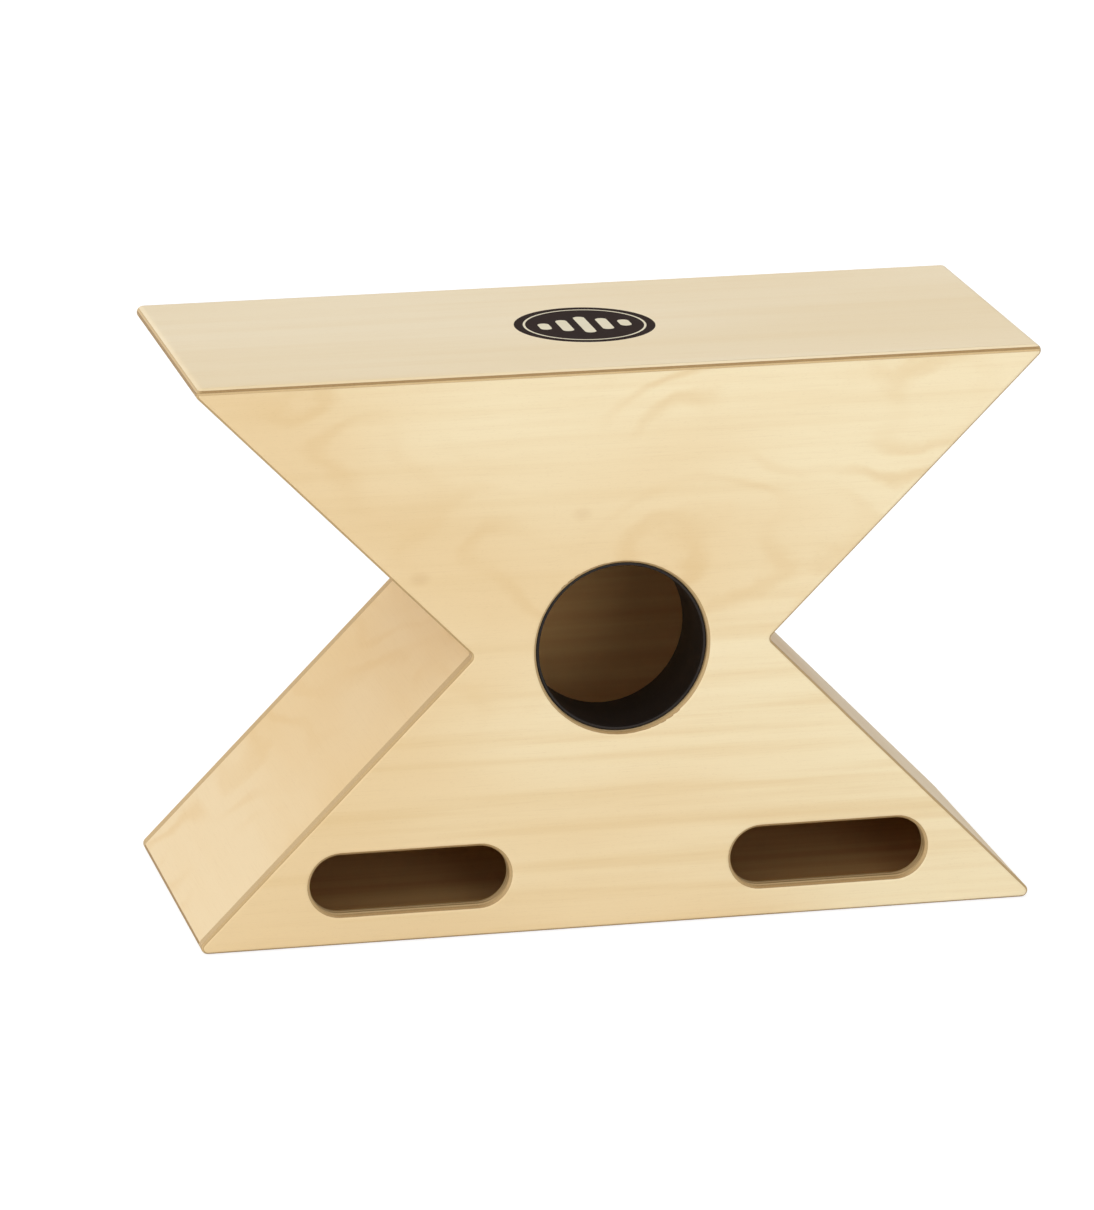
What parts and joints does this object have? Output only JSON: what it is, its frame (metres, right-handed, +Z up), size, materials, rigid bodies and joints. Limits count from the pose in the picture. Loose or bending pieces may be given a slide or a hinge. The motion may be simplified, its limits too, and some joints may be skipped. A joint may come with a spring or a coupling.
{
  "type": "cajon",
  "caption": "Hourglass box drum in birch plywood, played on its flat top; thigh notches at the waist, front bass port and slots, fixed snares inside.",
  "frame": {"origin": "centre of the base, on the surface that it stands on", "axes": "+X to the right seen from the front, -Y towards the sound ports, +Z up towards the playing surface"},
  "size_m": [0.515, 0.208, 0.35],
  "materials": {
    "birch_ply": "satin lacquer on rotary-cut birch plywood",
    "thin_ply": "satin lacquer on thin birch plywood",
    "solid_wood": "planed, raw",
    "black_plastic": "matt moulded",
    "screw_steel": "zinc plated",
    "snare_strip": "rolled strip",
    "snare_wire": "bright coiled wire",
    "badge_print": "printed film"
  },
  "bodies": {
    "root": {"playing_surface": "thin_ply", "front_panel": "birch_ply", "back_panel": "birch_ply", "bottom_panel": "birch_ply", "lower_left_side": "birch_ply", "lower_right_side": "birch_ply", "upper_left_side": "birch_ply", "upper_right_side": "birch_ply", "port_tube": "black_plastic", "port_tube_screws": "screw_steel", "top_front_batten": "solid_wood", "top_back_batten": "solid_wood", "bottom_left_corner_block": "solid_wood", "bottom_right_corner_block": "solid_wood", "top_left_corner_block": "solid_wood", "top_right_corner_block": "solid_wood", "snare_rail_left": "solid_wood", "snare_rail_right": "solid_wood", "snare_anchor_plate_left": "snare_strip", "snare_anchor_plate_right": "snare_strip", "snare_screws_left": "screw_steel", "snare_screws_right": "screw_steel", "snare_wires_left": "snare_wire", "snare_wires_right": "snare_wire", "badge": "badge_print"}
  },
  "joints": []
}
